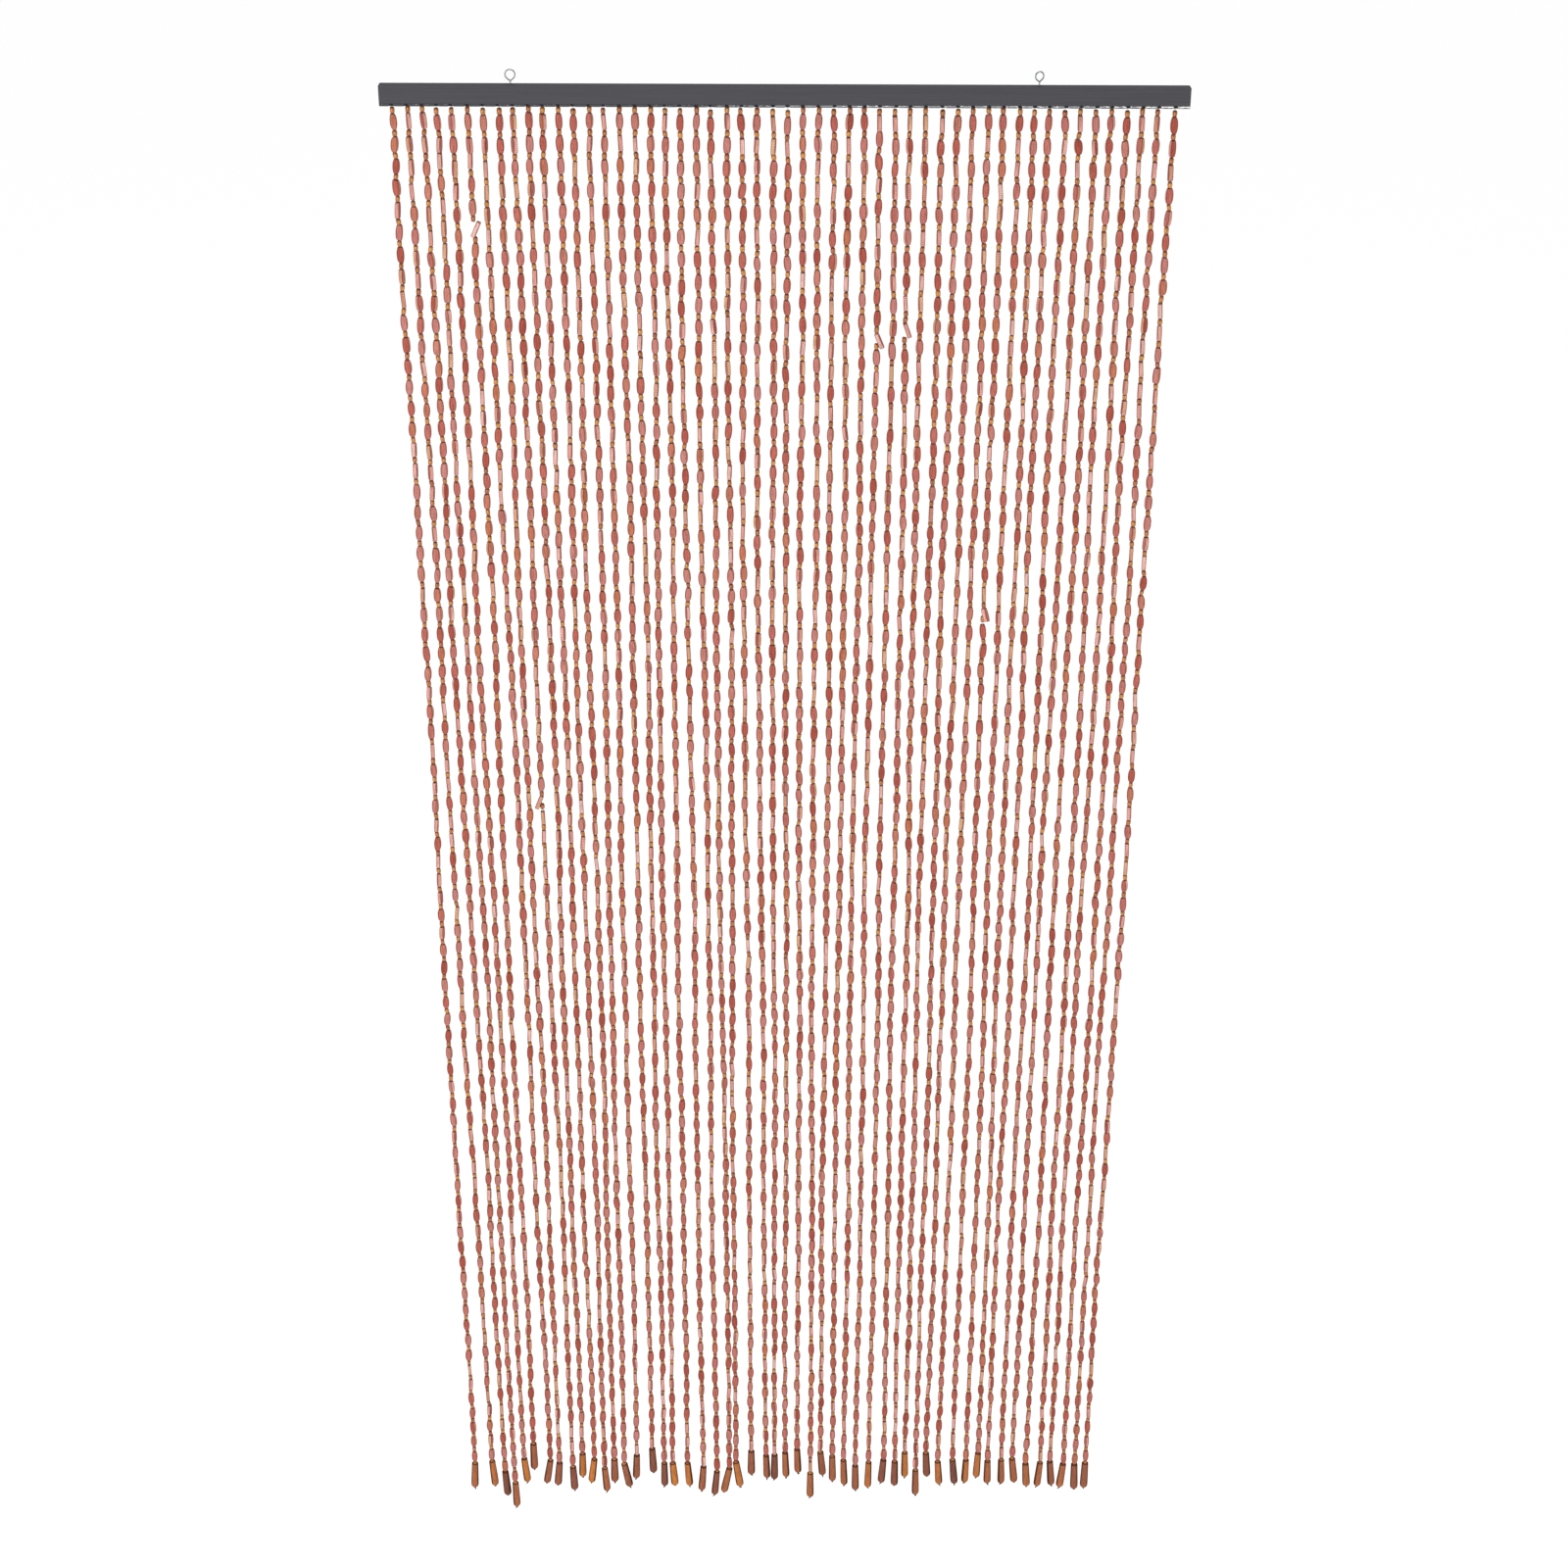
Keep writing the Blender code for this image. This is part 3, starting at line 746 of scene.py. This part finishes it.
def makeCords():
    cotton = makeCordCotton()
    shape = bmesh.new()
    for route in cords:
        kept = [route[0]]
        for point in route[1:]:
            if (point - kept[-1]).length > cord["leastStep"]:
                kept.append(point)
        addTube(shape, kept, [cord["radius"]] * len(kept), cord["sides"])
    addPiece("beadCords", meshFromShape("beadCords", shape), cotton, ["bead_strands"])
    shape = bmesh.new()
    rings = cord["knotRings"]
    for habit in habits:
        # a stopper knot under the rail, in the mouth of its notch
        middle = strandPoint(habit, 0.0) + Vector((0.0, -0.6 * mm, 0.2 * mm))
        swell = [math.sin(math.pi * (step + 0.5) / rings) * cord["knotRadius"] for step in range(rings)]
        places = [middle - Vector((0, 0, (step / (rings - 1) - 0.5) * 1.9 * cord["knotRadius"]))
                  for step in range(rings)]
        addTube(shape, places, swell, 8)
    addPiece("stopperKnots", meshFromShape("stopperKnots", shape), cotton, ["bead_strands"])
    glued = makeTailCord()
    shape = bmesh.new()
    chance = random.Random(cord["tailSeed"])
    for habit in habits:
        top, down, across = dropAxes(habit)
        foot = top + down * drop["tip"] * habit["dropStretch"]
        addTube(shape, [foot + down * rise for rise, _ in drop["knot"]], [radius for _, radius in drop["knot"]], 8)
        for tail in range(chance.choice((0, 1, 2, 2))):
            away = across * chance.uniform(-1.0, 1.0) + Vector((0, chance.uniform(-0.5, 0.5), 0))
            length = drop["tailLength"] * chance.uniform(0.6, 1.1)
            route = [foot + down * (2.0 * mm + length * t) + away * (length * (0.35 * t + 0.4 * t * t))
                     for t in (0.0, 0.5, 1.0)]
            addTube(shape, route, [drop["tailRadius"]] * 3, 6)
    addPiece("dropKnots", meshFromShape("dropKnots", shape), glued, ["bead_strands"])
    print("cords, stopper knots and tails")


makeCords()


# rail: a painted pine batten with a groove below, a notch for each cord and a worn lower lip

rail = {
    "edgeRound": 0.9 * mm,
    "lipRound": 0.7 * mm,
    "lip": (1.1 * mm, 2.5 * mm),        # the rubbed band's foot and top above the underside
    "endRound": 0.7 * mm,
    "grooveHalf": 2.5 * mm,
    "grooveDepth": 8.0 * mm,
    "grooveStop": 7.0 * mm,
    "step": 1.5 * mm,
    "notchHigh": 2.9 * mm,
    "notchHalf": 2.2 * mm,
    "notchDeep": 1.5 * mm,
    "paint": "#454449",
    "paintLight": "#4D4C51",
    "rubbed": "#8C8B90",
    "rawWood": "#EDEAE6",
    "shadowLine": "#1E1D20",
    "brushMarks": (70.0, 1.0, 1.0),     # mm along, through and up
    "chips": (5.0, 2.5, 1.0),           # mm
}


def makeRailPaint():
    # pine batten, brushed with charcoal paint: satin grey, faint brush lines, bare wood at the lower lip
    paint, shader = newMaterial("pineBrushedCharcoalPaint", {"Specular IOR Level": 0.12, "IOR": 1.5})
    spot = addNode(paint, "TexCoord")
    place = addNode(paint, "SeparateXYZ", {0: spot.outputs["Object"]})
    marks = sizedNoise(paint, rail["brushMarks"], {"Detail": 5.0, "Roughness": 0.6})
    coat = addNode(paint, "ValToRGB", {0: marks}, stops=((0.3, rail["paint"]), (0.75, rail["paintLight"])))
    # the lower lip is rubbed to a light grey, with chips down to bare wood, and more so to the right
    chips = sizedNoise(paint, rail["chips"], {"Detail": 3.0})
    rightward = addNode(paint, "MapRange", {"Value": place.outputs[0], "From Min": -0.16, "From Max": 0.08,
                                            "To Min": -0.20, "To Max": 0.10})
    farRight = addNode(paint, "MapRange", {"Value": place.outputs[0], "From Min": 0.34, "From Max": 0.44,
                                           "To Min": 0.0, "To Max": 0.14})
    wear = addNode(paint, "Math", {0: chips, 1: rightward.outputs[0]}, operation="ADD")
    wearMost = addNode(paint, "Math", {0: wear.outputs[0], 1: farRight.outputs[0]}, operation="ADD")
    rubbedHere = addNode(paint, "MapRange", {"Value": wearMost.outputs[0], "From Min": 0.40, "From Max": 0.46})
    bareHere = addNode(paint, "MapRange", {"Value": wearMost.outputs[0], "From Min": 0.66, "From Max": 0.70})
    lipFoot, lipTop = (railUnder + height for height in rail["lip"])
    belowTop = addNode(paint, "MapRange", {"Value": place.outputs[2], "From Min": lipTop,
                                           "From Max": lipTop + 0.3 * mm, "To Min": 1.0, "To Max": 0.0})
    overFoot = addNode(paint, "MapRange", {"Value": place.outputs[2], "From Min": lipFoot - 0.2 * mm,
                                           "From Max": lipFoot + 0.1 * mm})
    atFront = addNode(paint, "MapRange", {"Value": place.outputs[1], "From Min": railLow.y + 0.3 * mm,
                                          "From Max": railLow.y + 0.6 * mm, "To Min": 1.0, "To Max": 0.0})
    lipAllRound = addNode(paint, "Math", {0: belowTop.outputs[0], 1: overFoot.outputs[0]}, operation="MULTIPLY")
    lip = addNode(paint, "Math", {0: lipAllRound.outputs[0], 1: atFront.outputs[0]}, operation="MULTIPLY")
    notch = addNode(paint, "Attribute", attribute_name="notch")
    depth = addNode(paint, "SeparateXYZ", {0: notch.outputs["Vector"]})
    clear = addNode(paint, "MapRange", {"Value": depth.outputs[0], "From Min": 0.15, "From Max": 0.4,
                                        "To Min": 1.0, "To Max": 0.0})
    onLip = addNode(paint, "Math", {0: lip.outputs[0], 1: clear.outputs[0]}, operation="MULTIPLY")
    rubbedLip = addNode(paint, "Math", {0: rubbedHere.outputs[0], 1: onLip.outputs[0]}, operation="MULTIPLY")
    bareLip = addNode(paint, "Math", {0: bareHere.outputs[0], 1: onLip.outputs[0]}, operation="MULTIPLY")
    rubbed = addNode(paint, "Mix", {0: rubbedLip.outputs[0], 6: coat.outputs["Color"], 7: linear(rail["rubbed"])},
                     data_type="RGBA")
    bared = addNode(paint, "Mix", {0: bareLip.outputs[0], 6: rubbed.outputs[2], 7: linear(rail["rawWood"])},
                    data_type="RGBA")
    # painted shade lies in a line above and below the lip, and in the notches
    line = addNode(paint, "MapRange", {"Value": place.outputs[2], "From Min": lipTop + 0.4 * mm,
                                       "From Max": lipTop + 1.1 * mm, "To Min": 0.6, "To Max": 0.0})
    lineAtFront = addNode(paint, "Math", {0: line.outputs[0], 1: atFront.outputs[0]}, operation="MULTIPLY")
    lineOnly = addNode(paint, "Math", {0: lineAtFront.outputs[0], 1: onLip.outputs[0]}, operation="SUBTRACT",
                       use_clamp=True)
    inNotch = addNode(paint, "MapRange", {"Value": depth.outputs[0], "From Min": 0.3, "From Max": 0.7, "To Max": 0.9})
    lipAndNotchShade = addNode(paint, "Math", {0: lineOnly.outputs[0], 1: inNotch.outputs[0]}, operation="MAXIMUM")
    colour = addNode(paint, "Mix", {0: lipAndNotchShade.outputs[0], 6: bared.outputs[2], 7: linear(rail["shadowLine"])},
                     data_type="RGBA")
    rough = addNode(paint, "MapRange", {"Value": marks, "To Min": 0.55, "To Max": 0.75})
    bump = addNode(paint, "Bump", {"Height": marks, "Strength": 0.25, "Distance": 0.0004})
    plug(paint, shader, {"Base Color": colour.outputs[2], "Roughness": rough.outputs[0], "Normal": bump.outputs[0]})
    return paint


def makeRail():
    front, back = railLow.y, railHigh.y
    top, under = railHigh.z, railLow.z
    r, lip, half = rail["edgeRound"], rail["lipRound"], rail["grooveHalf"]
    grooveEnd = railHigh.x - rail["grooveStop"]
    rootPlaces = [strandPoint(habit, 0.0).x for habit in habits]
    ends = [rail["endRound"] * (1 - math.cos(math.radians(t))) for t in (0, 30, 60, 90)]
    insets = [rail["endRound"] * (1 - math.sin(math.radians(t))) for t in (0, 30, 60, 90)]
    inner = np.arange(railLow.x + 2 * mm, railHigh.x - 2 * mm, rail["step"]).tolist()
    # either side of the groove's stopped ends, so that they stay square
    inner = sorted(inner + [-grooveEnd - 0.01 * mm, -grooveEnd, grooveEnd, grooveEnd + 0.01 * mm])
    stations = ([(railLow.x + e, i) for e, i in zip(ends, insets)] + [(x, 0.0) for x in inner]
                + [(railHigh.x - e, i) for e, i in zip(ends[::-1], insets[::-1])])
    points, notches = [], []
    for x, inset in stations:
        near = min(abs(x - root) for root in rootPlaces)
        dip = math.exp(-(near / rail["notchHalf"]) ** 4)
        chip = max(0.0, noise.noise((x / (6 * mm), 3.0, 0.0))) * 0.5 * mm
        groove = rail["grooveDepth"] if abs(x) <= grooveEnd else 0.05 * mm
        high, deep = rail["notchHigh"], rail["notchDeep"]
        section = [
            (front + r, top, 0), (front + 0.3 * r, top - 0.3 * r, 0), (front, top - r, 0),
            (front, under + 1.25 * high, 0.2),
            (front, under + lip + dip * (high - lip), 1),
            (front + 0.3 * lip + chip, under + (1 - dip) * 0.3 * lip + dip * high, 1),
            (front + lip + (deep - lip) * dip, under + dip * high, 1),
            (front + deep + 0.4 * mm, under, 1),
            (-half, under, 0), (-half, under + groove, 0), (half, under + groove, 0),
            (half, under, 0), (back - r, under, 0), (back - 0.3 * r, under + 0.3 * r, 0),
            (back, under + r, 0), (back, top - r, 0), (back - 0.3 * r, top - 0.3 * r, 0), (back - r, top, 0),
        ]
        for y, z, share in section:
            points.append((x, y - math.copysign(min(inset, abs(y)), y), z + (inset if z < -10 * mm else -inset)))
            notches.append((dip * share, 0.0, 0.0))
    faces = gridFaces(1, len(stations), len(section))
    mesh = meshFrom("railBatten", np.array(points), faces, 35)
    setAttribute(mesh, "notch", np.array(notches))
    addPiece("railBatten", mesh, makeRailPaint(), ["rail"])
    print("rail", len(mesh.polygons), "faces")


makeRail()


# keeper strip: raw pine glued in the groove over the knotted cord ends

keeper = {
    "width": 4.4 * mm,
    "height": 4.5 * mm,
    "rise": 3.2 * mm,         # its underside above the rail's
    "ease": 0.4 * mm,
    "light": "#C9A77C",
    "dark": "#A98356",
    "grain": (45.0, 0.8, 0.8),     # mm
}


def makeKeeperStrip():
    # pine, planed and left raw: pale yellow wood with long darker grain
    pine, shader = newMaterial("pinePlanedRaw", {"Roughness": 0.7, "IOR": 1.5})
    grain = sizedNoise(pine, keeper["grain"], {"Detail": 4.0})
    colour = addNode(pine, "ValToRGB", {0: grain}, stops=((0.35, keeper["dark"]), (0.65, keeper["light"])))
    bump = addNode(pine, "Bump", {"Height": grain, "Strength": 0.3, "Distance": 0.0003})
    plug(pine, shader, {"Base Color": colour.outputs["Color"], "Normal": bump.outputs[0]})
    shape = bmesh.new()
    bmesh.ops.create_cube(shape, size=1.0)
    length = railHigh.x - railLow.x - 2 * (rail["grooveStop"] + 0.3 * mm)
    middle = Vector((0.0, 0.0, railUnder + keeper["rise"] + keeper["height"] / 2))
    bmesh.ops.transform(shape, verts=shape.verts, matrix=Matrix.Translation(middle)
                        @ Matrix.Diagonal((length, keeper["width"], keeper["height"], 1.0)))
    bmesh.ops.bevel(shape, geom=shape.edges, offset=keeper["ease"], segments=2, profile=0.5, affect="EDGES")
    mesh = meshFromShape("keeperStrip", shape)
    mesh.set_sharp_from_angle(angle=math.radians(35))
    addPiece("keeperStrip", mesh, pine, ["bead_strands"])
    print("keeper strip")


makeKeeperStrip()


# screw eyes: bent wire rings, drawn to a point over a straight shank

screwEye = {
    "wireRadius": 0.8 * mm,
    "ringRise": 11.0 * mm,
    "pointPerRing": 1.28,
    "mouth": 0.5 * mm,
    "bend": 1.2 * mm,
    "shank": 9.7 * mm,
    "arcSteps": 48,
    "zinc": "#8E9093",
    "places": {"left_screw_eye": (-0.304, 5.5 * mm, 0.0), "right_screw_eye": (0.282, 4.9 * mm, 20.0)},
}


def makeScrewEyes():
    # steel wire, bent and zinc plated: bright, with a slightly uneven sheen
    steel, shader = newMaterial("steelWireZincPlated", {"Metallic": 1.0, "Base Color": linear(screwEye["zinc"])})
    spot = addNode(steel, "TexCoord")
    clouds = addNode(steel, "TexNoise", {"Vector": spot.outputs["Object"], "Scale": 500.0, "Detail": 3.0})
    rough = addNode(steel, "MapRange", {"Value": clouds.outputs["Fac"], "To Min": 0.2, "To Max": 0.42})
    plug(steel, shader, {"Roughness": rough.outputs[0]})
    for nodeName, (x, ring, turn) in screwEye["places"].items():
        halfMouth = math.asin(1.0 / screwEye["pointPerRing"])
        pointRise = screwEye["ringRise"] - screwEye["pointPerRing"] * ring
        bend, mouth = screwEye["bend"], screwEye["mouth"]
        path = [(0.0, -screwEye["shank"]), (0.0, pointRise - bend), (0.05 * bend, pointRise - 0.66 * bend),
                (0.12 * bend, pointRise - 0.4 * bend), (0.42 * bend, pointRise + 0.18 * bend),
                (bend * math.sin(halfMouth), pointRise + bend * math.cos(halfMouth))]
        for step in range(screwEye["arcSteps"] + 1):
            angle = (math.pi + 2 * halfMouth) * step / screwEye["arcSteps"] - halfMouth
            path.append((ring * math.cos(angle), screwEye["ringRise"] + ring * math.sin(angle)))
        path.append((-mouth * math.sin(halfMouth), pointRise + mouth * math.cos(halfMouth)))
        wire = bpy.data.curves.new(nodeName.replace("_screw_eye", "ScrewEye"), "CURVE")
        wire.dimensions = "3D"
        wire.bevel_depth = screwEye["wireRadius"]
        wire.bevel_resolution = 4
        wire.use_fill_caps = True
        spline = wire.splines.new("POLY")
        spline.points.add(len(path) - 1)
        for point, (across, up) in zip(spline.points, path):
            point.co = (across, 0.0, up, 1.0)
        eye = addPiece(wire.name, wire, steel, [nodeName])
        eye.location = (x, 0.0, railHigh.z)
        eye.rotation_euler = (0.0, 0.0, math.radians(turn))
    print("screw eyes")


makeScrewEyes()


# studio: a white floor far below the hem, so that no lamp makes a bright pool on it, and soft light from above
# and from the front

studio = {
    "floorHeight": -4.2,
    "floorSize": 60.0,
    "paper": "#FBFBFB",
    "sky": 0.29,
    "overhead": (2.38, 60.0),       # strength, and degrees that it spreads over
    "lamps": {      # place, what it looks at, size and watts
        "frontSoftbox": ((-1.6, -3.2, -0.2), (0.0, 0.0, -0.8), 2.2, 70.0),
        "rightFill": ((3.0, -2.0, -0.4), (0.0, 0.0, -1.0), 2.4, 20.0),
    },
}


def makeStudio():
    # seamless studio paper, matt: a plain white ground with the faintest tooth
    paper, shader = newMaterial("studioPaperMatt", {"Roughness": 0.9, "Specular IOR Level": 0.1})
    spot = addNode(paper, "TexCoord")
    tooth = addNode(paper, "TexNoise", {"Vector": spot.outputs["Object"], "Scale": 300.0})
    colour = addNode(paper, "ValToRGB", {0: tooth.outputs["Fac"]}, stops=((0.2, "#F9F9F9"), (0.8, studio["paper"])))
    plug(paper, shader, {"Base Color": colour.outputs["Color"]})
    mesh = bpy.data.meshes.new("floorPaper")
    half = studio["floorSize"] / 2
    mesh.from_pydata([(-half, -half, 0), (half, -half, 0), (half, half, 0), (-half, half, 0)], [], [(0, 1, 2, 3)])
    mesh.materials.append(paper)
    floor = bpy.data.objects.new("floorPaper", mesh)
    floor.location.z = studio["floorHeight"]
    bpy.context.scene.collection.objects.link(floor)
    # the room is white to look at and lights the curtain less than the lamps do
    world = bpy.data.worlds.new("studioWorld")
    world.use_nodes = True
    background = world.node_tree.nodes["Background"]
    background.inputs["Color"].default_value = (1.0, 1.0, 1.0, 1.0)
    seen = addNode(world, "LightPath")
    level = addNode(world, "MapRange", {"Value": seen.outputs["Is Camera Ray"],
                                        "To Min": studio["sky"], "To Max": 1.0})
    plug(world, background, {"Strength": level.outputs[0]})
    bpy.context.scene.world = world
    strength, spread = studio["overhead"]
    overheadData = bpy.data.lights.new("overheadBank", "SUN")
    overheadData.energy = strength
    overheadData.angle = math.radians(spread)
    bpy.context.scene.collection.objects.link(bpy.data.objects.new("overheadBank", overheadData))
    for name, (place, target, size, watts) in studio["lamps"].items():
        lampData = bpy.data.lights.new(name, "AREA")
        lampData.size = size
        lampData.energy = watts
        lamp = bpy.data.objects.new(name, lampData)
        lamp.location = place
        lamp.rotation_euler = (Vector(target) - Vector(place)).to_track_quat("-Z", "Y").to_euler()
        bpy.context.scene.collection.objects.link(lamp)
    print("floor, world and lamps")


makeStudio()
